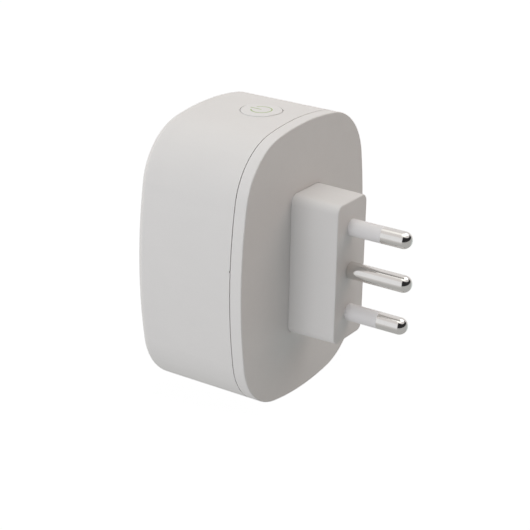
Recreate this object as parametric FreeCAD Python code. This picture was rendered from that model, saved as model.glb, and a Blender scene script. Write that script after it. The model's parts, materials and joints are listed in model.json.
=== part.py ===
"""Plug-in power meter with a three-pin in-line 16 A plug on its back and an earthed socket on its front.

Frame: millimetres, +Z up. The origin is on the earth pin's axis, where the pin leaves the plug block.
The pins point along +Y, into the wall socket. The appliance socket faces -Y. The power button is on top.
Each function below makes one sub-part, or one small family of them, and the table at the end names the nodes.
"""

import FreeCAD
import Part
import math
import os

# ---- driving dimensions ----------------------------------------------------------------------------------

HALF_WIDTH = 32.5  # housing outline, half its width and half its height
HALF_HEIGHT = 41.5
SIDE_RADIUS = 143.0  # crown of the left and right sides
TOP_RADIUS = 87.7  # crown of the top and bottom
CORNER_RADIUS = 19.5
BODY_DEPTH = 36.5
COVER_BAND = 3.8  # depth of the rear cover's visible band
SEAM = 0.26  # shadow gap between front housing and rear cover
SEAM_DEPTH = 0.9  # how deep the gap is, down to the cover's lip
LIP_LENGTH = 1.5  # overlap of the lip of the cover with the rebate in the wall
WALL = 2.2
FRONT_EDGE_RADIUS = 2.6

BLOCK_DEPTH = 15.3  # plug block, which enters the wall socket
BLOCK_HALF_WIDTH = 7.8
BLOCK_HALF_HEIGHT = 21.1
BLOCK_CORNER = 2.4
BLOCK_DRAFT = 0.3  # the block is this much larger all round at its root
BLOCK_WALL = 2.0
BLOCK_END = 5.0  # thickness of the wall that holds the pins

PIN_RADIUS = 2.5
PIN_PITCH = 13.0  # earth pin to live or neutral pin
PIN_LENGTH = 19.2
EARTH_PIN_LENGTH = 19.8
SLEEVE_LENGTH = 10.4
SLEEVE_SEAT = 1.0  # how far a sleeve's thinner foot sits in the block
FOOT_RADIUS = 2.3
NECK_RADIUS = 2.0  # pins in the block, and line pins under their sleeves

RECESS_RADIUS = 19.8  # appliance socket
RECESS_DEPTH = 17.5
WELL_WALL = 1.8
FLOOR = 2.5
HOLE_OFFSET = 11.25  # middle of each long pin hole, which takes both 19 and 26 mm pin spacings
HOLE_HALF_SLOT = 1.75
HOLE_RADIUS = 2.8
EARTH_HOLE_RADIUS = 3.0

BUTTON_RADIUS = 6.05
BUTTON_GAP = 0.2
BUTTON_SETBACK = 16.0  # from the rear face to the button's axis
BUTTON_TRAVEL = 0.6
BUTTON_PROUD = 0.15

SHUTTER_TRAVEL = 6.2

# ---- planes along Y --------------------------------------------------------------------------------------

REAR = -BLOCK_DEPTH
FRONT = REAR - BODY_DEPTH
SEAM_PLANE = REAR - COVER_BAND
FRONT_INSIDE = FRONT + WALL
COVER_INSIDE = REAR - 2.0
FLANGE_FRONT = COVER_INSIDE - 2.0
PCB_REAR = FLANGE_FRONT - 2.3
PCB_FRONT = PCB_REAR - 1.6
FLOOR_FRONT = FRONT + RECESS_DEPTH
FLOOR_REAR = FLOOR_FRONT + FLOOR
CARRIER_FRONT = FLOOR_REAR + 2.4
CARRIER_REAR = CARRIER_FRONT + 3.0
BUTTON_Y = REAR - BUTTON_SETBACK

POST_X, POST_Z = 24.5, 21.0  # screw posts for the main board
FLANGE_SCREW_X, FLANGE_SCREW_Z = 8.2, 24.2

V = FreeCAD.Vector
EPS = 0.05  # clearance between pieces that meet but aren't joined


# ---- helpers ---------------------------------------------------------------------------------------------


def box(x, y, z):
    """A box from three (low, high) pairs."""
    size = [hi - lo for lo, hi in (x, y, z)]
    return Part.makeBox(*size, V(x[0], y[0], z[0]))


def rod_y(radius, y0, y1, x=0.0, z=0.0):
    return Part.makeCylinder(radius, y1 - y0, V(x, y0, z), V(0, 1, 0))


def rod_x(radius, x0, x1, y=0.0, z=0.0):
    return Part.makeCylinder(radius, x1 - x0, V(x0, y, z), V(1, 0, 0))


def rod_z(radius, z0, z1, x=0.0, y=0.0):
    return Part.makeCylinder(radius, z1 - z0, V(x, y, z0), V(0, 0, 1))


def join(shapes):
    first, *rest = shapes
    return first.fuse(rest).removeSplitter() if rest else first


def cut(shape, tools):
    return shape.cut(join(tools))


def group(shapes):
    return Part.makeCompound(shapes)


def arc(centre, radius, start, end, y):
    """An arc in the plane at y, from angle start to end measured from +X towards +Z."""
    points = [
        V(centre[0] + radius * math.cos(a), y, centre[1] + radius * math.sin(a))
        for a in (start, (start + end) / 2, end)
    ]
    return Part.Arc(*points).toShape()


def outline(inset, y):
    """The housing's outline, eight tangent arcs, moved inwards by inset."""
    side_centre = (HALF_WIDTH - SIDE_RADIUS, 0.0)
    top_centre = (0.0, HALF_HEIGHT - TOP_RADIUS)
    r1, r2 = SIDE_RADIUS - CORNER_RADIUS, TOP_RADIUS - CORNER_RADIUS
    dx, dz = top_centre[0] - side_centre[0], top_centre[1] - side_centre[1]
    gap = math.hypot(dx, dz)
    along = (r1**2 - r2**2 + gap**2) / (2 * gap)
    across = math.sqrt(r1**2 - along**2)
    cx = side_centre[0] + (along * dx - across * dz) / gap
    cz = side_centre[1] + (along * dz + across * dx) / gap
    side_end = math.atan2(cz - side_centre[1], cx - side_centre[0])
    top_start = math.atan2(cz - top_centre[1], cx - top_centre[0])
    side, top, corner = (r - inset for r in (SIDE_RADIUS, TOP_RADIUS, CORNER_RADIUS))
    edges = []
    for mirror in (0, math.pi):
        sx = math.cos(mirror)
        edges.append(arc((sx * side_centre[0], 0), side, mirror - side_end, mirror + side_end, y))
        edges.append(arc((sx * cx, sx * cz), corner, mirror + side_end, mirror + top_start, y))
        edges.append(arc((0, sx * top_centre[1]), top, mirror + top_start, mirror + math.pi - top_start, y))
        turn = mirror + math.pi
        edges.append(arc((-sx * cx, sx * cz), corner, turn - top_start, turn - side_end, y))
    return Part.Wire(edges)


def slab(inset, y0, y1):
    """The housing's outline, inset, from y0 to y1."""
    return Part.Face(outline(inset, y0)).extrude(V(0, y1 - y0, 0))


def rounded_rectangle(half_x, half_z, radius, y):
    edges = []
    corners = [(1, 1), (-1, 1), (-1, -1), (1, -1)]
    for i, (sx, sz) in enumerate(corners):
        centre = (sx * (half_x - radius), sz * (half_z - radius))
        edges.append(arc(centre, radius, i * math.pi / 2, (i + 1) * math.pi / 2, y))
        nx, nz = corners[(i + 1) % 4]
        following = (nx * (half_x - radius), nz * (half_z - radius))
        a = (i + 1) * math.pi / 2
        offset = (radius * math.cos(a), radius * math.sin(a))
        edges.append(
            Part.LineSegment(
                V(centre[0] + offset[0], y, centre[1] + offset[1]),
                V(following[0] + offset[0], y, following[1] + offset[1]),
            ).toShape()
        )
    return Part.Wire(edges)


def rounded_block(half_x, half_z, radius, y0, y1):
    return Part.Face(rounded_rectangle(half_x, half_z, radius, y0)).extrude(V(0, y1 - y0, 0))


def stadium(radius, half_slot, y0, y1, z):
    """A long hole's solid: its straight part runs along Z."""
    ends = [rod_y(radius, y0, y1, 0, z + s * half_slot) for s in (-1, 1)]
    return join(ends + [box((-radius, radius), (y0, y1), (z - half_slot, z + half_slot))])


def fillet_where(shape, radius, test):
    """Rounds the edges whose midpoint passes the test."""
    edges = [e for e in shape.Edges if test(e.CenterOfMass)]
    return shape.makeFillet(radius, edges)


def strip(points, thickness, z0, z1):
    """A bent metal strip: points are (x, y) on its middle line, and its width runs from z0 to z1."""
    pieces = []
    for (xa, ya), (xb, yb) in zip(points, points[1:]):
        length = math.hypot(xb - xa, yb - ya)
        angle = math.degrees(math.atan2(yb - ya, xb - xa))
        plate = box((0, length), (-thickness / 2, thickness / 2), (z0, z1))
        plate.rotate(V(0, 0, 0), V(0, 0, 1), angle)
        plate.translate(V(xa, ya, 0))
        pieces.append(plate)
    for x, y in points[1:-1]:
        pieces.append(rod_z(thickness / 2, z0, z1, x, y))
    return join(pieces)


def screw(head_radius, head, shank_radius, shank, x, y, z, towards=1):
    """A pan-head screw along Y. y is under its head, and towards is the way its point goes."""
    y_head, y_tip = y - towards * head, y + towards * shank
    body = join(
        [
            rod_y(head_radius, min(y, y_head), max(y, y_head), x, z),
            rod_y(shank_radius, min(y, y_tip), max(y, y_tip), x, z),
        ]
    )
    slot_depth = 0.55 * head
    slot = sorted((y_head, y_head + towards * slot_depth))
    wing = 0.6 * head_radius
    cross = [
        box((x - wing, x + wing), slot, (z - 0.25, z + 0.25)),
        box((x - 0.25, x + 0.25), slot, (z - wing, z + wing)),
    ]
    return cut(body, cross)


def four(x, z):
    return [(sx * x, sz * z) for sx in (-1, 1) for sz in (-1, 1)]


# ---- housing ---------------------------------------------------------------------------------------------


def front_housing():
    front_end = SEAM_PLANE - SEAM / 2
    body = fillet_where(slab(0, FRONT, front_end), FRONT_EDGE_RADIUS, lambda c: abs(c.y - FRONT) < 0.01)
    inside = slab(WALL, FRONT_INSIDE, front_end + 1)
    inside = fillet_where(inside, 1.2, lambda c: abs(c.y - FRONT_INSIDE) < 0.01)
    shell = body.cut(inside)
    posts = [rod_y(2.6, FRONT_INSIDE - 0.5, PCB_FRONT, x, z) for x, z in four(POST_X, POST_Z)]
    light_collar = rod_y(2.4, FRONT_INSIDE - 0.5, FRONT_INSIDE + 2.0, 0, STATUS_Z)
    shell = join([shell, *posts, light_collar])
    well_seat = rod_y(23.55, FRONT - 1, FRONT + 1.85)
    well_hole = rod_y(RECESS_RADIUS + WELL_WALL + 0.1, FRONT - 1, FRONT_INSIDE + 1)
    button_hole = rod_z(BUTTON_RADIUS + BUTTON_GAP, 30, HALF_HEIGHT + 1, 0, BUTTON_Y)
    button_pocket = rod_z(BUTTON_RADIUS + 1.5, 30, HALF_HEIGHT - WALL + 0.15, 0, BUTTON_Y)
    light_hole = rod_y(STATUS_RADIUS + 0.06, FRONT - 1, FRONT_INSIDE + 3, 0, STATUS_Z)
    pilots = [rod_y(1.05, PCB_FRONT - 8.5, PCB_FRONT + 1, x, z) for x, z in four(POST_X, POST_Z)]
    catches = [snap(x, z, 0.75, 3.6) for x, z in SNAPS]
    notch = rod_x(0.3, HALF_WIDTH - 0.8, HALF_WIDTH + 1, front_end, PRY_NOTCH_Z)
    rebate = slab(SEAM_DEPTH, front_end - LIP_LENGTH, front_end + 1).cut(slab(WALL + 0.5, FRONT, REAR))
    cuts = [well_seat, well_hole, button_hole, button_pocket, light_hole, notch, rebate]
    return cut(shell, [*cuts, *pilots, *catches])


SNAPS = [(sx * (HALF_WIDTH - WALL), z) for sx in (-1, 1) for z in (-15, 15)] + [
    (x, sz * (HALF_HEIGHT - WALL)) for sz in (-1, 1) for x in (-9, 9)
]
SNAP_Y = SEAM_PLANE - 2.2
PRY_NOTCH_Z = 5.4
STATUS_RADIUS = 1.2
STATUS_Z = 33.2


def snap(x, z, height, length):
    """A snap hook's solid, or with more height and length the pocket that it enters."""
    on_side = abs(x) > abs(z) * 0.99
    reach = (abs(x) if on_side else abs(z)) + height
    sign = math.copysign(1, x if on_side else z)
    deep = tuple(sorted((sign * (reach - 2.4), sign * (reach + 0.5))))
    wide = (-length, length)
    y = (SNAP_Y - 0.6 - (length - 3) / 4, SNAP_Y + 0.6 + (length - 3) / 4)
    if on_side:
        blank = box(deep, y, (z + wide[0], z + wide[1]))
    else:
        blank = box((x + wide[0], x + wide[1]), y, deep)
    return blank.common(slab(WALL - height, SNAP_Y - 3, SNAP_Y + 3))


def rear_cover():
    band_front = SEAM_PLANE + SEAM / 2
    plate = fillet_where(slab(0, band_front, REAR), 0.35, lambda c: abs(c.y - REAR) < 0.01)
    plate = plate.cut(slab(WALL, band_front - 1, COVER_INSIDE))
    rim_front = SEAM_PLANE - 3.4
    rim = slab(WALL + 0.08, rim_front, COVER_INSIDE + 0.5).cut(slab(WALL + 1.3, rim_front - 1, COVER_INSIDE + 1))
    hooks = [snap(x, z, 0.55, 3.0) for x, z in SNAPS]
    bosses = [
        rod_y(2.2, FLANGE_FRONT - EPS, COVER_INSIDE + 0.5, x, z) for x, z in four(FLANGE_SCREW_X, FLANGE_SCREW_Z)
    ]
    lip = slab(SEAM_DEPTH + 0.06, band_front - LIP_LENGTH + 0.1, COVER_INSIDE - 0.5)
    lip = lip.cut(slab(WALL + 0.5, rim_front, COVER_INSIDE))
    cover = join([plate, rim, lip, *hooks, *bosses])
    opening = rounded_block(
        BLOCK_HALF_WIDTH + BLOCK_DRAFT + 0.08,
        BLOCK_HALF_HEIGHT + BLOCK_DRAFT + 0.08,
        BLOCK_CORNER + BLOCK_DRAFT + 0.08,
        COVER_INSIDE - 1,
        REAR + 1,
    )
    pilots = [rod_y(1.0, FLANGE_FRONT - 1, REAR - 0.9, x, z) for x, z in four(FLANGE_SCREW_X, FLANGE_SCREW_Z)]
    return cut(cover, [opening, *pilots])


def plug_block():
    """The moulded block that carries the pins, with a flange behind the rear cover."""
    root = rounded_rectangle(
        BLOCK_HALF_WIDTH + BLOCK_DRAFT, BLOCK_HALF_HEIGHT + BLOCK_DRAFT, BLOCK_CORNER + BLOCK_DRAFT, COVER_INSIDE
    )
    nose = rounded_rectangle(BLOCK_HALF_WIDTH, BLOCK_HALF_HEIGHT, BLOCK_CORNER, 0)
    block = Part.makeLoft([root, nose], True, True)
    block = fillet_where(block, 0.4, lambda c: abs(c.y) < 0.01)
    flange = rounded_block(12.0, 28.0, 3.0, FLANGE_FRONT, COVER_INSIDE - EPS / 2)
    neck = rounded_block(BLOCK_HALF_WIDTH, BLOCK_HALF_HEIGHT, BLOCK_CORNER, COVER_INSIDE - 1, COVER_INSIDE + 1)
    pocket = rounded_block(
        BLOCK_HALF_WIDTH - BLOCK_WALL, BLOCK_HALF_HEIGHT - BLOCK_WALL, 1.2, FLANGE_FRONT - 1, -BLOCK_END
    )
    screw_holes = [
        rod_y(2.3, FLANGE_FRONT - 1, COVER_INSIDE + 0.2, x, z) for x, z in four(FLANGE_SCREW_X, FLANGE_SCREW_Z)
    ]
    seats = [rod_y(NECK_RADIUS, -BLOCK_END - 1, 1, 0, z) for z in (-PIN_PITCH, 0, PIN_PITCH)]
    seats += [rod_y(FOOT_RADIUS, -SLEEVE_SEAT, 1, 0, z) for z in (-PIN_PITCH, PIN_PITCH)]
    return cut(join([block, flange, neck]), [pocket, *screw_holes, *seats])


def flange_screws():
    return group(
        [
            screw(3.0, 1.3, 0.95, 3.0, x, FLANGE_FRONT - EPS, z)
            for x, z in four(FLANGE_SCREW_X, FLANGE_SCREW_Z)
        ]
    )


# ---- plug pins -------------------------------------------------------------------------------------------

TAIL_RADIUS = 1.6
COLLAR_FRONT = -BLOCK_END - 1.2
TAIL_FRONT = -9.5


def pin_tail(z):
    collar = rod_y(3.3, COLLAR_FRONT, -BLOCK_END, 0, z)
    return [collar, rod_y(TAIL_RADIUS, TAIL_FRONT, COLLAR_FRONT, 0, z)]


def round_tip(length, z):
    return Part.makeSphere(PIN_RADIUS, V(0, length - PIN_RADIUS, z))


def line_pin(z):
    """A live or neutral pin: bare at its tip, and thinner where its sleeve goes."""
    shank = rod_y(PIN_RADIUS, SLEEVE_LENGTH, PIN_LENGTH - PIN_RADIUS, 0, z)
    neck = rod_y(NECK_RADIUS, -BLOCK_END, SLEEVE_LENGTH, 0, z)
    return join([shank, neck, round_tip(PIN_LENGTH, z), *pin_tail(z)])


def earth_pin():
    shank = rod_y(PIN_RADIUS, 0, EARTH_PIN_LENGTH - PIN_RADIUS)
    neck = rod_y(NECK_RADIUS, -BLOCK_END, 0)
    return join([shank, neck, round_tip(EARTH_PIN_LENGTH, 0), *pin_tail(0)])


def pin_sleeve(z):
    sleeve = join([rod_y(PIN_RADIUS, 0, SLEEVE_LENGTH, 0, z), rod_y(FOOT_RADIUS, -SLEEVE_SEAT, 0, 0, z)])
    return sleeve.cut(rod_y(NECK_RADIUS, -SLEEVE_SEAT - 1, SLEEVE_LENGTH + 1, 0, z))


# ---- appliance socket ------------------------------------------------------------------------------------

WELL_RADIUS = RECESS_RADIUS + WELL_WALL
CARRIER_SCREWS = [(-12.0, -11.0), (-12.0, 11.0)]


def socket_well():
    wall = rod_y(WELL_RADIUS, FRONT, FLOOR_REAR)
    flange = rod_y(23.45, FRONT, FRONT + 1.8)
    lugs = []
    for quarter in range(4):
        lug = box((WELL_RADIUS - 1, WELL_RADIUS + 0.75), (FRONT_INSIDE + EPS, FRONT_INSIDE + 1.6), (-2.5, 2.5))
        lug.rotate(V(0, 0, 0), V(0, 1, 0), 45 + 90 * quarter)
        lugs.append(lug)
    body = join([wall, flange, *lugs])
    body = fillet_where(body, 0.5, lambda c: abs(c.y - FRONT) < 0.01)
    recess = rod_y(RECESS_RADIUS, FRONT - 1, FLOOR_FRONT)
    body = body.cut(recess)
    ribs = [
        box((-2.6, 2.6), (FRONT + 1.2, FLOOR_FRONT + 0.2), tuple(sorted((s * 17.9, s * (RECESS_RADIUS + 0.4)))))
        for s in (-1, 1)
    ]
    body = join([body, *ribs])
    holes = [stadium(HOLE_RADIUS, HOLE_HALF_SLOT, FLOOR_FRONT - 1, FLOOR_REAR + 1, s * HOLE_OFFSET) for s in (-1, 1)]
    holes.append(rod_y(EARTH_HOLE_RADIUS, FLOOR_FRONT - 1, FLOOR_REAR + 1))
    slots = [
        box(tuple(sorted((s * 18.5, s * 23.0))), (CLIP_TOP - 0.9, FLOOR_FRONT - 0.6), (-3.6, 3.6)) for s in (-1, 1)
    ]
    pilots = [rod_y(0.95, FLOOR_REAR - 1.4, FLOOR_REAR + 1, x, z) for x, z in CARRIER_SCREWS]
    body = cut(body, [*holes, *slots, *pilots])
    mouths = [c for c in (0, HOLE_OFFSET, -HOLE_OFFSET)]
    edges = [
        e
        for e in body.Edges
        if abs(e.CenterOfMass.y - FLOOR_FRONT) < 0.01
        and e.BoundBox.XLength < 2.2 * HOLE_RADIUS
        and e.BoundBox.YLength < 0.01
        and any(abs(e.CenterOfMass.z - c) < 5 for c in mouths)
        and abs(e.CenterOfMass.x) < EARTH_HOLE_RADIUS + 0.1
        and abs(e.CenterOfMass.z) < 16.5
    ]
    return body.makeChamfer(0.5, edges)


def contact_carrier():
    """Holds the contacts behind the well's floor, and its rim and seat make the shutter's chamber."""
    disc = rod_y(WELL_RADIUS - 0.1, CARRIER_FRONT, CARRIER_REAR)
    rim = rod_y(WELL_RADIUS - 0.1, FLOOR_REAR + EPS, CARRIER_FRONT).cut(rod_y(19.9, FLOOR_REAR, CARRIER_FRONT + 1))
    seat = box((SPRING_END, SPRING_END + 1.6), (FLOOR_REAR + EPS, CARRIER_FRONT + 0.2), (-3.0, 3.0))
    bosses = [rod_y(2.4, FLOOR_REAR + EPS, CARRIER_FRONT + 0.2, x, z) for x, z in CARRIER_SCREWS]
    rails = [
        box((SHUTTER_LEFT, SHUTTER_RIGHT + SHUTTER_TRAVEL), (CARRIER_FRONT - 1.2, CARRIER_FRONT + 0.2), z)
        for z in ((SHUTTER_ARM + 0.15, SHUTTER_ARM + 1.2), (-SHUTTER_ARM - 1.2, -SHUTTER_ARM - 0.15))
    ]
    rails = [r.common(rod_y(20.5, FLOOR_REAR, CARRIER_REAR)) for r in rails]
    openings = [box((-3.7, 3.7), (CARRIER_FRONT - 1, CARRIER_REAR + 1), (s * 11.3 - 5.0, s * 11.3 + 5.0)) for s in (-1, 1)]
    openings.append(rod_y(EARTH_TUBE_RADIUS + 0.15, CARRIER_FRONT - 1, CARRIER_REAR + 1))
    pilots = [rod_y(1.1, FLOOR_REAR - 1, CARRIER_REAR + 1, x, z) for x, z in CARRIER_SCREWS]
    return cut(join([disc, rim, seat, *bosses, *rails]), [*openings, *pilots])


def carrier_screws():
    return group([screw(2.1, 1.2, 0.9, 6.0, x, CARRIER_REAR, z, towards=-1) for x, z in CARRIER_SCREWS])


EARTH_TUBE_RADIUS = 3.1
SHUTTER_LEFT = -3.3
SHUTTER_RIGHT = 8.0
SHUTTER_ARM = 15.7  # how far the shutter's two flaps reach from its middle
SPRING_END = 16.5
CLIP_TOP = FRONT + 5.2


def shutter():
    """A sliding gate whose two sloped flaps close the live and neutral holes."""
    rear, front = CARRIER_FRONT - EPS, FLOOR_REAR + EPS
    thin = rear - 0.6
    ramp_end = 2.4
    flap_profile = [
        V(SHUTTER_LEFT, rear, 0),
        V(SHUTTER_LEFT, thin, 0),
        V(ramp_end, front, 0),
        V(5.6, front, 0),
        V(5.6, rear, 0),
    ]
    flaps = []
    for low in (6.9, -SHUTTER_ARM):
        face = Part.Face(Part.makePolygon([V(p.x, p.y, low) for p in flap_profile + flap_profile[:1]]))
        flaps.append(face.extrude(V(0, 0, SHUTTER_ARM - 6.9)))
    bar = box((3.8, SHUTTER_RIGHT), (front, rear), (-9.5, 9.5))
    spigot = rod_x(0.55, SHUTTER_RIGHT - 0.2, SHUTTER_RIGHT + 1.2, (front + rear) / 2)
    return join([*flaps, bar, spigot])


def shutter_spring():
    wire, radius, turns = 0.15, 0.85, 6
    start, end = SHUTTER_RIGHT + wire + 0.02, SPRING_END - wire - 0.02
    helix = Part.makeHelix((end - start) / turns, end - start, radius)
    section = Part.Wire([Part.makeCircle(wire, V(radius, 0, 0), V(0, 1, 0))])
    coil = helix.makePipeShell([section], True, True)
    coil.rotate(V(0, 0, 0), V(0, 1, 0), 90)
    coil.translate(V(start, (FLOOR_REAR + CARRIER_FRONT) / 2, 0))
    return coil


def line_contact(side):
    """A two-leaf spring contact that grips a pin on both sides. side is +1 for live, -1 for neutral."""
    z = tuple(sorted((side * 7.0, side * 15.6)))
    leaves = []
    for s in (-1, 1):
        leaf = strip(
            [(s * 3.1, CONTACT_MOUTH), (s * 2.2, -25.5), (s * 2.9, -19.0), (s * 2.9, CONTACT_END)], 0.6, *z
        )
        leaves.append(leaf)
    web = box((-3.2, 3.2), (CONTACT_END - 0.3, CONTACT_END + 0.3), z)
    tab_z = tuple(sorted((side * 13.0, side * 15.6)))
    tab = box((2.4, 6.5), (CARRIER_REAR + 0.05, CARRIER_REAR + 0.65), tab_z)
    return join([*leaves, web, tab])


CONTACT_MOUTH = CARRIER_FRONT + 0.3
CONTACT_END = -15.1


def earth_tube():
    bottom = -14.4
    tube = rod_y(EARTH_TUBE_RADIUS, FLOOR_REAR + 0.2, bottom).cut(rod_y(2.55, FLOOR_REAR - 1, bottom - 0.7))
    slits = [
        box((-0.3, 0.3), (FLOOR_REAR, bottom - 8.0), (-4, 4)),
        box((-4, 4), (FLOOR_REAR, bottom - 8.0), (-0.3, 0.3)),
    ]
    return cut(tube, slits)


def earth_clips():
    """The plate on the earth tube with its two arms, which end in the side clips in the recess."""
    y = CARRIER_REAR + 0.45
    plate = box((-23.4, 23.4), (y - 0.4, y + 0.4), (-4.6, 4.6)).cut(rod_y(EARTH_TUBE_RADIUS, y - 1, y + 1))
    arms = []
    for s in (-1, 1):
        route = [
            (23.4, y),
            (23.4, CLIP_TOP + 1.6),
            (22.0, CLIP_TOP),
            (20.4, CLIP_TOP + 0.4),
            (18.3, CLIP_TOP + 3.6),
            (19.0, CLIP_TOP + 8.0),
            (20.7, CLIP_TOP + 10.4),
        ]
        arms.append(strip([(s * px, py) for px, py in route], 0.8, -2.9, 2.9))
    return join([plate, *arms])


# ---- strips between the plug, the board and the socket ----------------------------------------------------


def pin_lug(z, low, high):
    """A flat lug riveted on a pin's tail."""
    plate = box((-2.6, 2.6), (TAIL_FRONT + 0.2, TAIL_FRONT + 1.0), (low, high))
    return plate.cut(rod_y(TAIL_RADIUS, TAIL_FRONT - 1, COLLAR_FRONT, 0, z))


def neutral_strip():
    """Joins the neutral pin to the neutral contact."""
    top, foot = TAIL_FRONT + 0.2, CONTACT_END + 0.3
    lug = pin_lug(-PIN_PITCH, -17.6, -10.6)
    leg = box((-2.6, 2.6), (foot, top + 0.4), (-17.6, -16.8))
    pad = box((-2.6, 2.6), (foot, foot + 0.8), (-17.6, -9.0))
    return join([lug, leg, pad])


def live_inlet_strip():
    """Carries current from the live pin to the main board."""
    top = TAIL_FRONT + 0.2
    bend = FLANGE_FRONT - 1.4
    lug = pin_lug(PIN_PITCH, 10.6, 18.0)
    leg = box((-2.6, 2.6), (bend, top + 0.4), (17.2, 18.0))
    shelf = box((-2.6, 2.6), (bend, bend + 0.8), (17.2, 23.0))
    tab = box((-1.2, 1.2), (PCB_FRONT - 0.8, bend + 0.2), (22.2, 23.0))
    return join([lug, leg, shelf, tab])


def live_outlet_strip():
    """Carries switched current from the main board to the live contact."""
    y0 = CARRIER_REAR + 0.65
    shelf = box((3.6, 6.4), (y0, y0 + 0.6), (13.2, 22.8))
    tab = box((3.8, 6.2), (y0, PCB_REAR + 0.8), (22.2, 22.8))
    return join([shelf, tab])


def neutral_tap():
    """Feeds the main board's supply from the neutral contact."""
    y0 = CARRIER_REAR + 0.65
    shelf = box((3.6, 6.4), (y0, y0 + 0.6), (-22.4, -13.2))
    tab = box((3.8, 6.2), (y0, PCB_REAR + 0.8), (-22.4, -21.8))
    return join([shelf, tab])


def earth_strap():
    top, foot = TAIL_FRONT + 0.2, -14.4
    lug = box((-2.6, 4.8), (top, top + 0.8), (-2.6, 2.6)).cut(rod_y(TAIL_RADIUS, top - 1, top + 2))
    leg = box((4.0, 4.8), (foot, top + 0.4), (-2.6, 2.6))
    pad = box((-2.6, 4.8), (foot, foot + 0.8), (-2.6, 2.6))
    return join([lug, leg, pad])


# ---- main board and what it carries -----------------------------------------------------------------------


def on_board(x, z, height):
    """A box standing on the main board's front face."""
    return box(x, (PCB_FRONT - height, PCB_FRONT), z)


def main_board():
    board = slab(4.4, PCB_FRONT, PCB_REAR)
    slot = rounded_block(8.2, 20.6, 1.5, PCB_FRONT - 1, PCB_REAR + 1)
    holes = [rod_y(1.4, PCB_FRONT - 1, PCB_REAR + 1, x, z) for x, z in four(POST_X, POST_Z)]
    tabs = [
        box((-1.4, 1.4), (PCB_FRONT - 1, PCB_REAR + 1), (22.0, 23.2)),
        box((3.6, 6.4), (PCB_FRONT - 1, PCB_REAR + 1), (22.0, 23.0)),
        box((3.6, 6.4), (PCB_FRONT - 1, PCB_REAR + 1), (-22.6, -21.6)),
        box((-3.2, -2.2), (PCB_FRONT - 1, PCB_REAR + 1), (RELAY_MID_Z - 2.1, RELAY_MID_Z + 2.1)),
    ]
    leads = [rod_y(0.42, PCB_FRONT - 1, PCB_REAR + 1, FILM_X, z) for z in FILM_LEADS_Z]
    return cut(board, [slot, *holes, *tabs, *leads])


def board_screws():
    return group([screw(2.3, 1.4, 1.0, 8.0, x, PCB_REAR, z, towards=-1) for x, z in four(POST_X, POST_Z)])


RELAY_X = (-14.5, 14.5)
RELAY_Z = (-36.4, -23.8)
RELAY_MID_Z = sum(RELAY_Z) / 2
COIL_Y = PCB_FRONT - 8.4
PIVOT_X, PIVOT_Y = -4.4, PCB_FRONT - 13.8
ARMATURE_HALF = 0.5  # half the armature's thickness, and the radius of its pivot edge
BASE_FRONT = PCB_FRONT - 2.0


def relay_case():
    outer = box(RELAY_X, (PCB_FRONT - 15.7, PCB_FRONT - 0.3), RELAY_Z)
    outer = fillet_where(outer, 0.5, lambda c: abs(c.y - (PCB_FRONT - 15.7)) < 0.01)
    wall = 0.7
    inner = box(
        (RELAY_X[0] + wall, RELAY_X[1] - wall),
        (PCB_FRONT - 15.7 + wall, PCB_FRONT),
        (RELAY_Z[0] + wall, RELAY_Z[1] - wall),
    )
    return outer.cut(inner)


def relay_base():
    plate = box(
        (RELAY_X[0] + 0.75, RELAY_X[1] - 0.75), (BASE_FRONT, PCB_FRONT - 0.4), (RELAY_Z[0] + 0.75, RELAY_Z[1] - 0.75)
    )
    return plate.cut(box((-3.2, -2.2), (BASE_FRONT - 1, PCB_FRONT), (RELAY_MID_Z - 2, RELAY_MID_Z + 2)))


def relay_bobbin():
    sides = [rod_x(4.5, x, x + 0.8, COIL_Y, RELAY_MID_Z) for x in (-2.0, 10.2)]
    tube = rod_x(2.5, -2.0, 11.0, COIL_Y, RELAY_MID_Z)
    return join([*sides, tube]).cut(rod_x(2.0, -3.0, 12.0, COIL_Y, RELAY_MID_Z))


def relay_winding():
    return rod_x(4.1, -1.2, 10.2, COIL_Y, RELAY_MID_Z).cut(rod_x(2.5, -1.2, 10.2, COIL_Y, RELAY_MID_Z))


def relay_yoke():
    """Core and yoke, one magnetic path from the coil's pole round to the armature's pivot."""
    z = (RELAY_MID_Z - 4.3, RELAY_MID_Z + 4.3)
    core = rod_x(2.0, -2.9, 11.6, COIL_Y, RELAY_MID_Z)
    back = box((11.1, 12.3), (PIVOT_Y - 0.4, COIL_Y + 4.0), z)
    arm = box((PIVOT_X + 0.8, 12.3), (PIVOT_Y - 0.4, PIVOT_Y + 0.7), z)
    return join([core, back, arm])


def relay_armature():
    z = (RELAY_MID_Z - 4.0, RELAY_MID_Z + 4.0)
    plate = box((PIVOT_X - ARMATURE_HALF, PIVOT_X + ARMATURE_HALF), (PIVOT_Y, COIL_Y + 2.8), z)
    return join([plate, rod_z(ARMATURE_HALF, *z, PIVOT_X, PIVOT_Y)])


def relay_moving_contact():
    x = PIVOT_X - ARMATURE_HALF
    blade = box((x - 0.3, x), (PIVOT_Y + 1.5, BASE_FRONT - 0.5), (RELAY_MID_Z - 2.5, RELAY_MID_Z + 2.5))
    rivet = rod_x(1.1, x - 0.3, x + 0.6, BASE_FRONT - 1.8, RELAY_MID_Z)
    return join([blade, rivet])


def relay_fixed_contact():
    face = PIVOT_X + 1.1
    post = box((face + 0.3, face + 0.9), (BASE_FRONT - 3.1, PCB_REAR + 0.6), (RELAY_MID_Z - 1.9, RELAY_MID_Z + 1.9))
    rivet = rod_x(1.1, face, face + 0.3, BASE_FRONT - 1.8, RELAY_MID_Z)
    return join([post, rivet])


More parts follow.
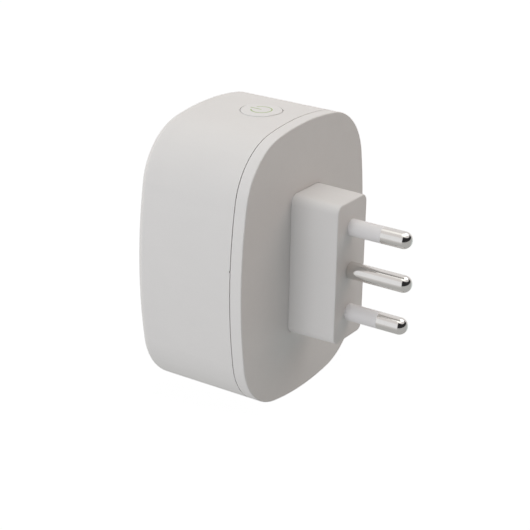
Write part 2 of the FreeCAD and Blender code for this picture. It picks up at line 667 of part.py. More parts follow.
def can_capacitor(radius, height, x, z):
    """An electrolytic can with its rolled groove near the board and a scored top."""
    can = rod_y(radius, PCB_FRONT - height, PCB_FRONT - 0.3, x, z)
    can = fillet_where(can, 0.5, lambda c: abs(c.y - (PCB_FRONT - height)) < 0.01)
    groove = Part.makeTorus(radius + 0.35, 0.7, V(x, PCB_FRONT - 2.0, z), V(0, 1, 0))
    top = PCB_FRONT - height
    score = [
        box((x - radius * 0.7, x + radius * 0.7), (top - 1, top + 0.2), (z - 0.15, z + 0.15)),
        box((x - 0.15, x + 0.15), (top - 1, top + 0.2), (z - radius * 0.7, z + radius * 0.7)),
    ]
    return cut(can, [groove, *score])


FILM_X = -26.3
FILM_LEADS_Z = (-6.0, 4.0)


def film_capacitor():
    body = box((-28.6, -24.9), (-44.0, -27.0), (-9.0, 7.0))
    return body.makeFillet(0.5, body.Edges)


def film_capacitor_leads():
    return group([rod_y(0.35, -27.0, PCB_REAR + 0.6, FILM_X, z) for z in FILM_LEADS_Z])


def varistor():
    disc = rod_x(4.6, 15.4, 19.0, PCB_FRONT - 6.4, -28.6)
    disc = disc.makeFillet(1.2, disc.Edges[:1] + disc.Edges[2:3]) if len(disc.Edges) == 3 else disc
    return disc


def fuse_body():
    return rod_x(2.0, -22.6, -16.1, PCB_FRONT - 2.3, -29.0)


def fuse_caps():
    caps = [rod_x(2.15, x, x + 1.6, PCB_FRONT - 2.3, -29.0) for x in (-23.4, -16.9)]
    return group([cap.cut(fuse_body()) for cap in caps])


def transformer_core():
    """Two E-shaped ferrite halves round the winding."""
    x, z = (-6.6, 6.6), (23.6, 30.5)
    height = 11.5
    body = on_board(x, z, height).cut(box((-4.6, 4.6), (PCB_FRONT - height + 1.8, PCB_FRONT - 1.8), (20, 32)))
    leg = box((-1.5, 1.5), (PCB_FRONT - height, PCB_FRONT), (25.5, 28.6))
    lift = 0.4
    core = join([body, leg])
    core.translate(V(0, -lift, 0))
    return core


def transformer_winding():
    y = (PCB_FRONT - 9.9, PCB_FRONT - 2.4)
    ring = box((-4.4, 4.4), y, (23.3, 30.7)).cut(box((-1.6, 1.6), (y[0] - 1, y[1] + 1), (25.4, 28.7)))
    outer = [e for e in ring.Edges if abs(abs(e.CenterOfMass.x) - 4.4) < 0.01 and e.BoundBox.YLength > 5]
    return ring.makeFillet(1.0, outer)


def choke():
    base, y = 4.0, PCB_FRONT
    rims = [rod_y(base, y - 9.0, y - 7.8, 19.0, 27.6), rod_y(base, y - 1.6, y - 0.4, 19.0, 27.6)]
    return join([*rims, rod_y(1.8, y - 8.5, y - 1.0, 19.0, 27.6)])


def choke_winding():
    y = PCB_FRONT
    return rod_y(3.5, y - 7.8, y - 1.6, 19.0, 27.6).cut(rod_y(1.8, y - 8, y - 1, 19.0, 27.6))


def metering_chip():
    chip = box((12.2, 17.2), (PCB_FRONT - 1.1, PCB_FRONT - 0.1), (-13.0, -8.0))
    return chip.cut(rod_y(0.4, PCB_FRONT - 2, PCB_FRONT - 1.0, 13.0, -8.8))


def metering_chip_leads():
    leads = []
    for i in range(5):
        z = -12.5 + i
        for x in ((11.4, 12.2), (17.2, 18.0)):
            leads.append(box(x, (PCB_FRONT - 0.5, PCB_FRONT), (z - 0.18, z + 0.18)))
    return group(leads)


def shunt_resistor():
    """A flat alloy bridge across two feet, whose voltage drop measures the current."""
    feet = [box(x, (PCB_FRONT - 0.9, PCB_FRONT), (16.4, 19.4)) for x in ((10.8, 12.4), (17.4, 19.0))]
    bridge = box((12.0, 17.8), (PCB_FRONT - 0.9, PCB_FRONT - 0.5), (16.4, 19.4))
    return join([*feet, bridge])


def bridge_rectifier():
    body = box((-16.5, -11.8), (PCB_FRONT - 1.6, PCB_FRONT - 0.1), (2.4, 6.4))
    legs = [
        box(x, (PCB_FRONT - 0.6, PCB_FRONT), (z - 0.4, z + 0.4)) for x in ((-17.4, -16.5), (-11.8, -10.9)) for z in (3.2, 5.6)
    ]
    return join([body, *legs])


# ---- radio module beside the well -------------------------------------------------------------------------

RADIO_X = 25.3
RADIO_Y = (-46.0, PCB_FRONT)
RADIO_Z = (-8.0, 8.0)


def radio_board():
    return box((RADIO_X, RADIO_X + 0.8), RADIO_Y, RADIO_Z)


def radio_shield():
    can = box((RADIO_X + 0.8, RADIO_X + 3.0), (-39.5, -26.0), (-6.8, 6.8))
    return can.makeFillet(0.4, [e for e in can.Edges if abs(e.CenterOfMass.x - RADIO_X - 3.0) < 0.01])


# ---- power button, its switch board and the lights --------------------------------------------------------

SWITCH_TOP = 32.4
SWITCH_BOARD_Z = (30.9, 32.1)
CAP_FLANGE = (37.95, 38.95)


def button_crown(tool):
    """Trims a button piece to the housing's crowned top, raised a little."""
    crown = slab(0, FRONT, REAR)
    crown.translate(V(0, 0, BUTTON_PROUD))
    return tool.common(crown)


def symbol_solid():
    """The power symbol: a ring with a gap towards the front, and a bar in the gap."""
    low, high = 38.2, HALF_HEIGHT + 2
    ring = rod_z(3.2, low, high, 0, BUTTON_Y).cut(rod_z(2.8, low - 1, high + 1, 0, BUTTON_Y))
    gap = box((-1.5, 1.5), (BUTTON_Y - 6, BUTTON_Y), (low - 1, high + 1))
    bar = box((-0.2, 0.2), (BUTTON_Y - 3.75, BUTTON_Y - 0.05), (low, high))
    return join([ring.cut(gap), bar])


def button_cap():
    cap = button_crown(rod_z(BUTTON_RADIUS, CAP_FLANGE[1] - 0.2, HALF_HEIGHT + 2, 0, BUTTON_Y))
    cap = fillet_where(cap, 0.3, lambda c: c.z > HALF_HEIGHT - 0.5)
    flange = rod_z(BUTTON_RADIUS + 0.9, *CAP_FLANGE, 0, BUTTON_Y)
    stem = rod_z(2.2, 37.25, CAP_FLANGE[1], 0, BUTTON_Y)
    window = rod_z(4.6, CAP_FLANGE[0] - 1, 38.2, 0, BUTTON_Y).cut(rod_z(2.2, 30, 40, 0, BUTTON_Y))
    return cut(join([cap, flange, stem]), [symbol_solid(), window])


def power_symbol():
    """The light guide that fills the cap's power-symbol cut-out."""
    return button_crown(symbol_solid())


def switch_plunger():
    return rod_z(1.7, 34.9, 37.25, 0, BUTTON_Y)


def switch_body():
    body = box((-3.0, 3.0), (BUTTON_Y - 3.0, BUTTON_Y + 3.0), (SWITCH_BOARD_Z[1], 35.7))
    return body.cut(rod_z(1.8, 34.1, 36.0, 0, BUTTON_Y))


def switch_board():
    return box((-7.6, 7.6), (-41.0, PCB_FRONT - 0.2), SWITCH_BOARD_Z)


def switch_leds():
    top = SWITCH_BOARD_Z[1]
    return group([box((x - 0.8, x + 0.8), (BUTTON_Y - 0.5, BUTTON_Y + 0.5), (top, top + 0.8)) for x in (-4.6, 4.6)])


def board_header():
    """The plastic strip that holds the pins between the main board and the switch board."""
    z = SWITCH_BOARD_Z[1]
    strip_block = box((-6.4, 6.4), (PCB_FRONT - 3.0, PCB_FRONT), (z, z + 2.4))
    return cut(strip_block, [header_pins()])


def header_pins():
    """Five right-angle pins from the main board down into the switch board."""
    z = SWITCH_BOARD_Z[1] + 1.2
    pins = []
    for i in range(5):
        x = -5.08 + 2.54 * i
        along = box((x - 0.3, x + 0.3), (PCB_FRONT - 4.4, PCB_FRONT), (z - 0.3, z + 0.3))
        down = box((x - 0.3, x + 0.3), (PCB_FRONT - 4.4, PCB_FRONT - 3.8), (SWITCH_BOARD_Z[1], z + 0.3))
        pins.append(join([along, down]))
    return group(pins)


def status_led():
    return box((-1.4, 1.4), (-41.0, -39.6), (SWITCH_BOARD_Z[1], SWITCH_BOARD_Z[1] + 2.0))


def status_light_guide():
    pipe = rod_y(STATUS_RADIUS, FRONT, -41.2, 0, STATUS_Z)
    stop = rod_y(STATUS_RADIUS + 0.6, FRONT_INSIDE + 2.05, FRONT_INSIDE + 3.0, 0, STATUS_Z)
    return join([pipe, stop])


# ---- nodes -----------------------------------------------------------------------------------------------


def nodes():
    made = {
        "front_housing": front_housing(),
        "rear_cover": rear_cover(),
        "plug_block": plug_block(),
        "plug_flange_screws": flange_screws(),
        "live_pin": line_pin(PIN_PITCH),
        "neutral_pin": line_pin(-PIN_PITCH),
        "earth_pin": earth_pin(),
        "live_pin_sleeve": pin_sleeve(PIN_PITCH),
        "neutral_pin_sleeve": pin_sleeve(-PIN_PITCH),
        "socket_well": socket_well(),
        "contact_carrier": contact_carrier(),
        "carrier_screws": carrier_screws(),
        "shutter": shutter(),
        "shutter_spring": shutter_spring(),
        "live_contact": line_contact(1),
        "neutral_contact": line_contact(-1),
        "earth_contact_tube": earth_tube(),
        "earth_clips": earth_clips(),
        "neutral_strip": neutral_strip(),
        "neutral_tap": neutral_tap(),
        "live_inlet_strip": live_inlet_strip(),
        "live_outlet_strip": live_outlet_strip(),
        "earth_strap": earth_strap(),
        "main_board": main_board(),
        "board_screws": board_screws(),
        "relay_case": relay_case(),
        "relay_base": relay_base(),
        "relay_bobbin": relay_bobbin(),
        "relay_winding": relay_winding(),
        "relay_yoke": relay_yoke(),
        "relay_armature": relay_armature(),
        "relay_moving_contact": relay_moving_contact(),
        "relay_fixed_contact": relay_fixed_contact(),
        "bulk_capacitor": can_capacitor(4.6, 14.0, -12.6, 27.4),
        "output_capacitor": can_capacitor(3.2, 11.0, 11.2, 26.6),
        "film_capacitor": film_capacitor(),
        "film_capacitor_leads": film_capacitor_leads(),
        "varistor": varistor(),
        "fuse_body": fuse_body(),
        "fuse_caps": fuse_caps(),
        "transformer_core": transformer_core(),
        "transformer_winding": transformer_winding(),
        "choke_core": choke(),
        "choke_winding": choke_winding(),
        "metering_chip": metering_chip(),
        "metering_chip_leads": metering_chip_leads(),
        "shunt_resistor": shunt_resistor(),
        "bridge_rectifier": bridge_rectifier(),
        "radio_board": radio_board(),
        "radio_shield": radio_shield(),
        "button_cap": button_cap(),
        "power_symbol": power_symbol(),
        "switch_plunger": switch_plunger(),
        "switch_body": switch_body(),
        "switch_board": switch_board(),
        "switch_leds": switch_leds(),
        "board_header": board_header(),
        "header_pins": header_pins(),
        "status_light_guide": status_light_guide(),
        "status_led": status_led(),
    }
    return made


os.makedirs("parts", exist_ok=True)
for name, shape in nodes().items():
    good = shape.isValid() and all(s.Volume > 0 for s in shape.Solids) and shape.Solids
    if not good:
        print("CHECK", name, "valid", shape.isValid(), "solids", len(shape.Solids), "volume", shape.Volume)
    shape.exportStep(f"parts/{name}.step")
    print(name, len(shape.Solids), round(shape.Volume, 2))
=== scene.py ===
import json
import math

import bpy
from mathutils import Matrix, Vector


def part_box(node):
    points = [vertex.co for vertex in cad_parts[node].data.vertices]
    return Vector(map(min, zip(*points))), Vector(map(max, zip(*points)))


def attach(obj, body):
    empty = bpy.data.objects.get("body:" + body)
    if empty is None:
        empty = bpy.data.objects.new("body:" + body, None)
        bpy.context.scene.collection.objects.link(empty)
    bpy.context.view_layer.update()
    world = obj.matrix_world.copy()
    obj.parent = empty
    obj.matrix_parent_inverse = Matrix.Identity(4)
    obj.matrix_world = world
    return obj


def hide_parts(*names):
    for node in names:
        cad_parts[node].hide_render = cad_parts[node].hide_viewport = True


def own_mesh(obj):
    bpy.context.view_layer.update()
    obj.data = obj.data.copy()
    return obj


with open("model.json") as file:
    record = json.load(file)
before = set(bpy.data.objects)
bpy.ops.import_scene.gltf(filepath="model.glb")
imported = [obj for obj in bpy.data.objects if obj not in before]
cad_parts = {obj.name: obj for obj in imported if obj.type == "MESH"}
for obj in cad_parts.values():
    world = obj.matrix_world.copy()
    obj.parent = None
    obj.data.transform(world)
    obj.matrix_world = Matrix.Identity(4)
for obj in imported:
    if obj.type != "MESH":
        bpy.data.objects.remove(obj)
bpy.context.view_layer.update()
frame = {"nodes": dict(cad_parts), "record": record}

NODES = frame["nodes"]
SLOT_OF = {s["node"]: s["material_slot"] for s in frame["record"]["subparts"]}

# ---- measures, in metres and degrees -------------------------------------------------------------

CAMERA_AZIMUTH, CAMERA_ELEVATION, CAMERA_ROLL = 123.339, 22.421, 1.172
CAMERA_DISTANCE = 0.453315
CAMERA_TARGET = Vector((0.020869, -0.0153, 0.004672))
CAMERA_LENS = 110.741  # on a 36 mm sensor
FLOOR_Z = -0.04155
FLAT_RADIUS, COVE_RADIUS, WALL_HEIGHT = 5.0, 1.0, 5.0  # of the paper sweep
FILL_DISTANCE, FILL_SIZE = 0.7, 0.45
SPRING_WIRE, SPRING_TURNS = 0.00015, 6  # radius of the wire, number of turns

# the room around the object, as radiances
FLOOR_GREY, WALL_WHITE, DARK_GREY = (0.498, 0.499, 0.49), (0.783, 0.754, 0.742), (0.03, 0.03, 0.03)
DARK_FROM, DARK_TO = 92, 250  # azimuths between which the room is dark
PATCHES = [
    # azimuth, elevation, half-angle, radiance
    (70, 10, 30, (0.11, 0.145, 0.17)),
    (20, 0, 30, (0.19, 0.2, 0.2)),
    (0, 90, 30, (0.67, 0.7, 0.65)),
    (248, 58, 18, (1.3, 1.4, 1.48)),
    (255, -22, 20, (0.15, 0.22, 0.22)),
    (330, 20, 35, (0.1, 0.11, 0.12)),
]

# ---- materials -----------------------------------------------------------------------------------


class Nodes:
    """Adds nodes to one material's tree and links them."""

    def __init__(self, name):
        self.material = bpy.data.materials.new(name)
        self.material.use_nodes = True
        self.tree = self.material.node_tree
        self.shader = self.tree.nodes["Principled BSDF"]
        self.place = self.add("ShaderNodeTexCoord").outputs["Object"]

    def add(self, kind, **values):
        node = self.tree.nodes.new(kind)
        for key, value in values.items():
            setattr(node, key, value)
        return node

    def link(self, source, target):
        self.tree.links.new(source, target)

    def stretched(self, scale):
        mapping = self.add("ShaderNodeMapping")
        mapping.inputs["Scale"].default_value = scale
        self.link(self.place, mapping.inputs["Vector"])
        return mapping.outputs["Vector"]

    def noise(self, size_mm, detail=3.0, roughness=0.5, stretch=None, distortion=0.0):
        """Noise whose features are about size_mm across."""
        node = self.add("ShaderNodeTexNoise")
        node.inputs["Scale"].default_value = 1000.0 / size_mm
        node.inputs["Detail"].default_value = detail
        node.inputs["Roughness"].default_value = roughness
        node.inputs["Distortion"].default_value = distortion
        self.link(self.stretched(stretch) if stretch else self.place, node.inputs["Vector"])
        return node.outputs["Fac"]

    def ramp(self, value, low, high, out_low=0.0, out_high=1.0):
        node = self.add("ShaderNodeMapRange")
        node.inputs["From Min"].default_value = low
        node.inputs["From Max"].default_value = high
        node.inputs["To Min"].default_value = out_low
        node.inputs["To Max"].default_value = out_high
        self.link(value, node.inputs["Value"])
        return node.outputs["Result"]

    def maths(self, operation, a, b):
        node = self.add("ShaderNodeMath", operation=operation)
        for socket, value in zip(node.inputs, (a, b)):
            if isinstance(value, (int, float)):
                socket.default_value = value
            else:
                self.link(value, socket)
        return node.outputs["Value"]

    def mix(self, factor, a, b):
        node = self.add("ShaderNodeMix", data_type="RGBA")
        self.link(factor, node.inputs["Factor"])
        for socket, value in ((node.inputs["A"], a), (node.inputs["B"], b)):
            if isinstance(value, tuple):
                socket.default_value = (*value, 1.0)
            else:
                self.link(value, socket)
        return node.outputs["Result"]

    def edges(self, radius_mm):
        """0 on a flat, 1 on an outer or inner edge, from the difference between two normals."""
        bevel = self.add("ShaderNodeBevel", samples=4)
        bevel.inputs["Radius"].default_value = radius_mm / 1000.0
        geometry = self.add("ShaderNodeNewGeometry")
        dot = self.add("ShaderNodeVectorMath", operation="DOT_PRODUCT")
        self.link(bevel.outputs["Normal"], dot.inputs[0])
        self.link(geometry.outputs["Normal"], dot.inputs[1])
        return self.ramp(dot.outputs["Value"], 1.0, 0.8)

    def bump(self, height, depth_mm, strength=1.0, after=None):
        node = self.add("ShaderNodeBump")
        node.inputs["Strength"].default_value = strength
        node.inputs["Distance"].default_value = depth_mm / 1000.0
        self.link(height, node.inputs["Height"])
        if after is not None:
            self.link(after, node.inputs["Normal"])
        return node.outputs["Normal"]

    def finish(self, colour, roughness, normal, **fixed):
        self.link(colour, self.shader.inputs["Base Color"])
        self.link(roughness, self.shader.inputs["Roughness"])
        self.link(normal, self.shader.inputs["Normal"])
        for key, value in fixed.items():
            self.shader.inputs[key.replace("_", " ")].default_value = value
        return self.material


def plastic(
    name, colour, other, rough=(0.48, 0.6), grain_mm=0.35, grain_depth_mm=0.012, worn_and_highlight=None, **fixed
):
    """Moulded plastic: slow colour drift, flow marks, fine spark-eroded grain, and edges lightened as rubbed
    wear and a painted edge highlight.
    """
    n = Nodes(name)
    drift = n.ramp(n.noise(24.0, 2.0), 0.35, 0.65)
    flow = n.ramp(n.noise(7.0, 4.0, 0.55, stretch=(1.0, 0.35, 1.0), distortion=0.6), 0.3, 0.7)
    speck = n.ramp(n.noise(0.5, 2.0), 0.3, 0.7)
    base = n.mix(drift, colour, other)
    base = n.mix(n.maths("MULTIPLY", flow, 0.35), base, tuple(0.97 * c for c in other))
    base = n.mix(n.maths("MULTIPLY", speck, 0.12), base, tuple(0.9 * c for c in colour))
    if worn_and_highlight:
        # edges lightened in noisy patches: rubbed wear and a painted edge highlight
        edge_wear_and_highlight = n.maths("MULTIPLY", n.edges(0.35), n.ramp(n.noise(3.0, 4.0), 0.42, 0.62, 0.15, 0.8))
        base = n.mix(edge_wear_and_highlight, base, worn_and_highlight)
    level = n.maths("ADD", n.maths("MULTIPLY", flow, 0.5), n.maths("MULTIPLY", speck, 0.5))
    roughness = n.ramp(level, 0, 1, *rough)
    normal = n.bump(n.noise(grain_mm, 3.0, 0.6), grain_depth_mm, 0.6)
    return n.finish(base, roughness, normal, **fixed)


def metal(name, colour, other, rough, lines=(1.0, 14.0, 1.0), lines_mm=6.0, depth_mm=0.002):
    """Metal with drawn or turned lines, a little tarnish and fine scratches."""
    n = Nodes(name)
    turned = n.noise(lines_mm, 5.0, 0.7, stretch=lines)
    tarnish = n.ramp(n.noise(4.0, 4.0, 0.6), 0.4, 0.7)
    scratch = n.ramp(n.noise(1.2, 6.0, 0.75, stretch=tuple(1.0 / max(v, 0.6) for v in lines)), 0.52, 0.6)
    base = n.mix(n.maths("MULTIPLY", tarnish, 0.5), colour, other)
    base = n.mix(n.maths("MULTIPLY", n.ramp(turned, 0.35, 0.65), 0.2), base, tuple(0.85 * c for c in colour))
    drawn = n.maths("MULTIPLY", n.ramp(turned, 0.3, 0.7), 0.5)
    level = n.maths("ADD", drawn, n.maths("MULTIPLY", tarnish, 0.5))
    roughness = n.maths("ADD", n.ramp(level, 0, 1, *rough), n.maths("MULTIPLY", scratch, 0.06))
    normal = n.bump(turned, depth_mm, 0.5)
    return n.finish(base, roughness, normal, Metallic=1.0)


def board(name):
    """Solder mask over copper tracks: a grid of faint straight tracks shows through the green."""
    n = Nodes(name)
    tracks = n.add("ShaderNodeTexBrick")
    tracks.inputs["Scale"].default_value = 260.0
    tracks.inputs["Mortar Size"].default_value = 0.09
    tracks.inputs["Color1"].default_value = (0.01, 0.11, 0.04, 1)
    tracks.inputs["Color2"].default_value = (0.012, 0.14, 0.05, 1)
    tracks.inputs["Mortar"].default_value = (0.02, 0.2, 0.07, 1)
    turned = n.add("ShaderNodeVectorRotate", rotation_type="X_AXIS")
    turned.inputs["Angle"].default_value = math.radians(90)
    n.link(n.place, turned.inputs["Vector"])
    n.link(turned.outputs["Vector"], tracks.inputs["Vector"])
    haze = n.ramp(n.noise(5.0, 3.0), 0.35, 0.65)
    base = n.mix(n.maths("MULTIPLY", haze, 0.3), tracks.outputs["Color"], (0.015, 0.16, 0.05))
    roughness = n.ramp(haze, 0, 1, 0.25, 0.4)
    normal = n.bump(tracks.outputs["Fac"], 0.03, 0.5)
    return n.finish(base, roughness, normal)


def wound(name, colour, other, pitch_mm, along):
    """Enamelled wire lying in turns: bands across the given axis, darker between the turns as painted shade
    in the grooves.
    """
    n = Nodes(name)
    wave = n.add("ShaderNodeTexWave", wave_type="BANDS", bands_direction=along, wave_profile="SIN")
    wave.inputs["Scale"].default_value = 1000.0 / pitch_mm / 20.0 * math.pi * 2
    wave.inputs["Distortion"].default_value = 0.6
    n.link(n.place, wave.inputs["Vector"])
    # the darker colour of the bands is painted shade in the grooves between turns
    base = n.mix(wave.outputs["Fac"], other, colour)
    roughness = n.ramp(n.noise(1.5), 0.3, 0.7, 0.22, 0.38)
    return n.finish(base, roughness, n.bump(wave.outputs["Fac"], 0.12, 0.8), Metallic=0.85)


def lit(name, colour, glow, strength):
    """A light guide or diffused lamp, glowing a little unevenly."""
    n = Nodes(name)
    cloud = n.ramp(n.noise(1.6, 2.0), 0.3, 0.7)
    base = n.mix(cloud, colour, tuple(0.9 * c for c in colour))
    n.link(n.mix(cloud, glow, tuple(0.88 * c for c in glow)), n.shader.inputs["Emission Color"])
    roughness = n.ramp(n.noise(0.8), 0.3, 0.7, 0.3, 0.42)
    return n.finish(base, roughness, n.bump(n.noise(0.4), 0.004, 0.4), Emission_Strength=strength)


SHELL = (0.735, 0.722, 0.71)
SHELL_OTHER = (0.722, 0.71, 0.698)
MATERIALS = {
    "white_plastic": plastic("white_plastic", SHELL, SHELL_OTHER, worn_and_highlight=(0.80, 0.79, 0.78)),
    "button_plastic": plastic(
        "button_plastic", (0.75, 0.74, 0.73), (0.74, 0.73, 0.72), (0.4, 0.5), 0.3, 0.008,
    ),
    "grey_sleeve": plastic(
        "grey_sleeve", (0.765, 0.75, 0.75), (0.735, 0.72, 0.72), (0.42, 0.55), 0.5, 0.01,
    ),
    "shutter_plastic": plastic(
        "shutter_plastic", (0.52, 0.51, 0.49), (0.49, 0.48, 0.46), (0.4, 0.5),
    ),
    "black_plastic": plastic(
        "black_plastic", (0.022, 0.022, 0.024), (0.03, 0.03, 0.032), (0.42, 0.55),
    ),
    "relay_blue": plastic(
        "relay_blue", (0.02, 0.09, 0.33), (0.025, 0.10, 0.37), (0.28, 0.38), worn_and_highlight=(0.05, 0.15, 0.42),
    ),
    "ferrite": plastic(
        "ferrite", (0.035, 0.035, 0.037), (0.05, 0.048, 0.046), (0.6, 0.75), 0.25, 0.03,
    ),
    "capacitor_sleeve": plastic(
        "capacitor_sleeve", (0.012, 0.02, 0.08), (0.016, 0.026, 0.1), (0.22, 0.32),
    ),
    "film_box": plastic("film_box", (0.55, 0.30, 0.03), (0.60, 0.34, 0.04), (0.25, 0.35)),
    "varistor_blue": plastic(
        "varistor_blue", (0.02, 0.10, 0.35), (0.03, 0.12, 0.4), (0.45, 0.6), 0.6, 0.03,
    ),
    "nickel": metal(
        "nickel", (0.80, 0.785, 0.765), (0.74, 0.72, 0.70), (0.07, 0.13), (1.0, 0.12, 1.0), 1.4,
        0.0015,
    ),
    "contact_brass": metal("contact_brass", (0.78, 0.55, 0.25), (0.65, 0.42, 0.18), (0.2, 0.32)),
    "tinned_copper": metal("tinned_copper", (0.70, 0.66, 0.60), (0.62, 0.55, 0.48), (0.28, 0.4)),
    "spring_steel": metal(
        "spring_steel", (0.62, 0.63, 0.64), (0.5, 0.5, 0.5), (0.2, 0.3), (12.0, 1.0, 1.0),
    ),
    "screw_steel": metal("screw_steel", (0.66, 0.67, 0.68), (0.55, 0.55, 0.54), (0.22, 0.34)),
    "iron": metal("iron", (0.56, 0.57, 0.58), (0.45, 0.45, 0.44), (0.3, 0.42), (1.0, 1.0, 10.0)),
    "silver_cap": metal("silver_cap", (0.83, 0.83, 0.82), (0.72, 0.71, 0.68), (0.15, 0.25)),
    "copper_winding": wound("copper_winding", (0.78, 0.30, 0.12), (0.30, 0.09, 0.03), 0.35, "X"),
    "board_green": board("board_green"),
    "symbol_light": lit("symbol_light", (0.30, 0.42, 0.11), (0.45, 0.65, 0.2), 0.03),
    "led": lit("led", (0.5, 0.75, 0.4), (0.5, 0.9, 0.35), 0.4),
    "clear_guide": plastic(
        "clear_guide", (0.75, 0.78, 0.78), (0.7, 0.74, 0.75), (0.1, 0.16), 0.6, 0.002,
        Transmission_Weight=0.7, IOR=1.49,
    ),
    "fuse_glass": plastic(
        "fuse_glass", (0.85, 0.9, 0.88), (0.8, 0.86, 0.84), (0.03, 0.06), 0.8, 0.001,
        Transmission_Weight=0.9, IOR=1.5,
    ),
}

for node, thing in NODES.items():
    thing.data.materials.clear()
    thing.data.materials.append(MATERIALS[SLOT_OF[node]])

# ---- the shutter's return spring, a fixed coil of wire -------------------------------------------


def make_spring():
    low, high = (Vector(v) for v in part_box("shutter_spring"))
    middle = (low + high) / 2
    per_turn = 28
    radius = (high.y - low.y) / 2 - SPRING_WIRE
    count = SPRING_TURNS * per_turn + 1
    curve = bpy.data.curves.new("shutter_coil", "CURVE")
    curve.dimensions = "3D"
    curve.bevel_depth, curve.bevel_resolution = SPRING_WIRE, 3
    curve.use_fill_caps = True
    spline = curve.splines.new("POLY")
    spline.points.add(count - 1)
    for i, point in enumerate(spline.points):
        turn = 2 * math.pi * i / per_turn
        x = low.x + SPRING_WIRE + (high.x - low.x - 2 * SPRING_WIRE) * i / (count - 1)
        point.co = (x, middle.y + radius * math.cos(turn), middle.z + radius * math.sin(turn), 1)
    drawn = bpy.data.objects.new("shutter_coil_curve", curve)
    mesh = bpy.data.meshes.new_from_object(drawn)
    bpy.data.objects.remove(drawn)
    mesh.shade_smooth()
    piece = bpy.data.objects.new("shutter_coil", mesh)
    bpy.context.scene.collection.objects.link(piece)
    mesh.materials.clear()
    mesh.materials.append(MATERIALS["spring_steel"])
    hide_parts("shutter_spring")
    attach(piece, "housing")
    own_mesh(piece)


make_spring()

# ---- floor, light and camera ---------------------------------------------------------------------

scene = bpy.context.scene
scene.view_settings.view_transform = "Standard"
scene.view_settings.look = "None"


def make_floor():
    """A pale paper sweep: a flat round floor whose edge curves up into a wall, so no horizon shows."""
    steps, around = 8, 64
    bends = [t * math.pi / 2 / steps for t in range(steps + 1)]
    profile = [(FLAT_RADIUS + COVE_RADIUS * math.sin(b), COVE_RADIUS * (1 - math.cos(b))) for b in bends]
    profile.append((FLAT_RADIUS + COVE_RADIUS, WALL_HEIGHT))
    turns = [2 * math.pi * i / around for i in range(around)]
    points = [(r * math.cos(t), r * math.sin(t), z) for r, z in profile for t in turns]
    faces = [tuple(range(around))]
    for ring in range(len(profile) - 1):
        for i in range(around):
            j = (i + 1) % around
            low, high = ring * around, (ring + 1) * around
            faces.append((low + i, low + j, high + j, high + i))
    mesh = bpy.data.meshes.new("floor")
    mesh.from_pydata(points, [], faces)
    mesh.shade_smooth()
    floor = bpy.data.objects.new("floor", mesh)
    floor.location.z = FLOOR_Z
    scene.collection.objects.link(floor)
    n = Nodes("floor_paper")
    fibre = n.ramp(n.noise(2.0, 4.0), 0.3, 0.7)
    base = n.mix(fibre, (0.93, 0.93, 0.93), (0.90, 0.90, 0.90))
    normal = n.bump(fibre, 0.02, 0.2)
    n.finish(base, n.ramp(fibre, 0, 1, 0.85, 0.95), normal, Emission_Strength=1.0)
    n.shader.inputs["Emission Color"].default_value = (1, 1, 1, 1)
    mesh.materials.append(n.material)
    floor.visible_diffuse = False
    floor.visible_glossy = False
    floor.visible_shadow = False


def direction(azimuth, elevation):
    a, e = math.radians(azimuth), math.radians(elevation)
    return Vector((math.sin(a) * math.cos(e), -math.cos(a) * math.cos(e), math.sin(e)))


def softbox(name, azimuth, elevation, watts, colour):
    """A square softbox that lights the object but is hidden from its reflections."""
    light = bpy.data.lights.new(name, "AREA")
    light.size = FILL_SIZE
    light.energy = watts
    light.color = colour
    thing = bpy.data.objects.new(name, light)
    back = direction(azimuth, elevation)
    thing.location = Vector((0, -0.02, 0)) + back * FILL_DISTANCE
    thing.rotation_mode = "QUATERNION"
    thing.rotation_quaternion = back.to_track_quat("Z", "Y")
    thing.visible_glossy = False
    scene.collection.objects.link(thing)


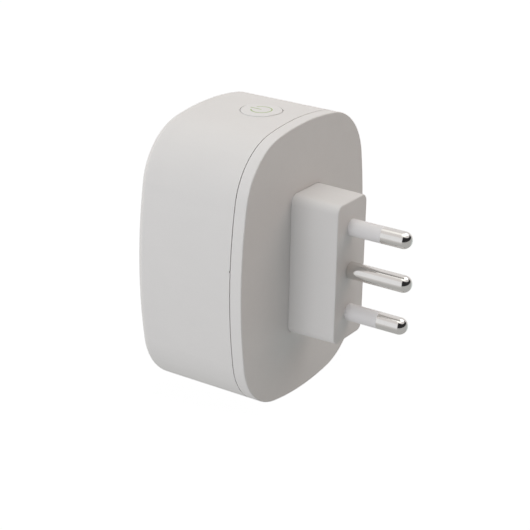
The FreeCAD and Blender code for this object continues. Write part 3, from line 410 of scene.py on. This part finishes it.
def make_world(floor, sky, dark, patches):
    """A pale room: grey below, white above, a dark side behind the camera, and soft bright patches.

    Each patch is azimuth, elevation, half-angle and radiance. The slopes and widths in step() are
    parts of a unit direction: they tilt the edges of the dark side and set how soft they are.
    """
    world = bpy.data.worlds.new("studio")
    scene.world = world
    world.use_nodes = True
    tree = world.node_tree
    ray = tree.nodes.new("ShaderNodeTexCoord").outputs["Generated"]

    def step(axis, low, high):
        """0 where the direction's part along the axis is under low, 1 over high."""
        dot = tree.nodes.new("ShaderNodeVectorMath")
        dot.operation = "DOT_PRODUCT"
        dot.inputs[1].default_value = axis
        tree.links.new(ray, dot.inputs[0])
        node = tree.nodes.new("ShaderNodeMapRange")
        node.interpolation_type = "SMOOTHSTEP"
        node.inputs["From Min"].default_value = low
        node.inputs["From Max"].default_value = high
        tree.links.new(dot.outputs["Value"], node.inputs["Value"])
        return node.outputs["Result"]

    def times(a, b):
        node = tree.nodes.new("ShaderNodeMath")
        node.operation = "MULTIPLY"
        tree.links.new(a, node.inputs[0])
        tree.links.new(b, node.inputs[1])
        return node.outputs["Value"]

    def mix(factor, a, b, blend="MIX"):
        node = tree.nodes.new("ShaderNodeMix")
        node.data_type = "RGBA"
        node.blend_type = blend
        tree.links.new(factor, node.inputs["Factor"])
        for socket, value in ((node.inputs["A"], a), (node.inputs["B"], b)):
            if isinstance(value, tuple):
                socket.default_value = (*value, 1)
            else:
                tree.links.new(value, socket)
        return node.outputs["Result"]

    up = Vector((0, 0, 1))
    left, right = direction(DARK_FROM + 90, 0), direction(DARK_TO - 90, 0)
    beside = times(step(left, 0.0, 0.06), step(right, -0.05, 0.15))
    sector = times(beside, step(up + 0.3 * direction(220, 0), 0.85, 0.77))
    outside = mix(step(up, -0.75, -0.05), floor, sky)
    inside = mix(step(up + 0.19 * direction(90, 0), -0.06, 0.08), floor, dark)
    colour = mix(sector, outside, inside)
    for azimuth, elevation, half_angle, glow in patches:
        rim = math.cos(math.radians(half_angle))
        cap = step(direction(azimuth, elevation), rim - 0.25 * (1 - rim), rim + 0.6 * (1 - rim))
        colour = mix(cap, colour, glow, "ADD")
    tree.links.new(colour, tree.nodes["Background"].inputs["Color"])


def make_camera():
    camera = bpy.data.objects.new("camera", bpy.data.cameras.new("camera"))
    camera.data.lens, camera.data.sensor_width = CAMERA_LENS, 36.0
    back = direction(CAMERA_AZIMUTH, CAMERA_ELEVATION)
    right = Vector((0, 0, 1)).cross(back).normalized()
    up = back.cross(right)
    roll = math.radians(CAMERA_ROLL)
    turned_right = math.cos(roll) * right + math.sin(roll) * up
    turned_up = math.cos(roll) * up - math.sin(roll) * right
    camera.matrix_world = (
        Matrix.Translation(CAMERA_TARGET + back * CAMERA_DISTANCE)
        @ Matrix((turned_right, turned_up, back)).transposed().to_4x4()
    )
    camera.data.clip_start, camera.data.clip_end = 0.01, 50.0
    scene.collection.objects.link(camera)
    scene.camera = camera


make_floor()
make_camera()
make_world(FLOOR_GREY, WALL_WHITE, DARK_GREY, PATCHES)
softbox("fill_side", 90, 10, 1.54, (0.94, 0.96, 1.0))
softbox("fill_back", 215, 30, 0.74, (1.0, 0.74, 0.61))
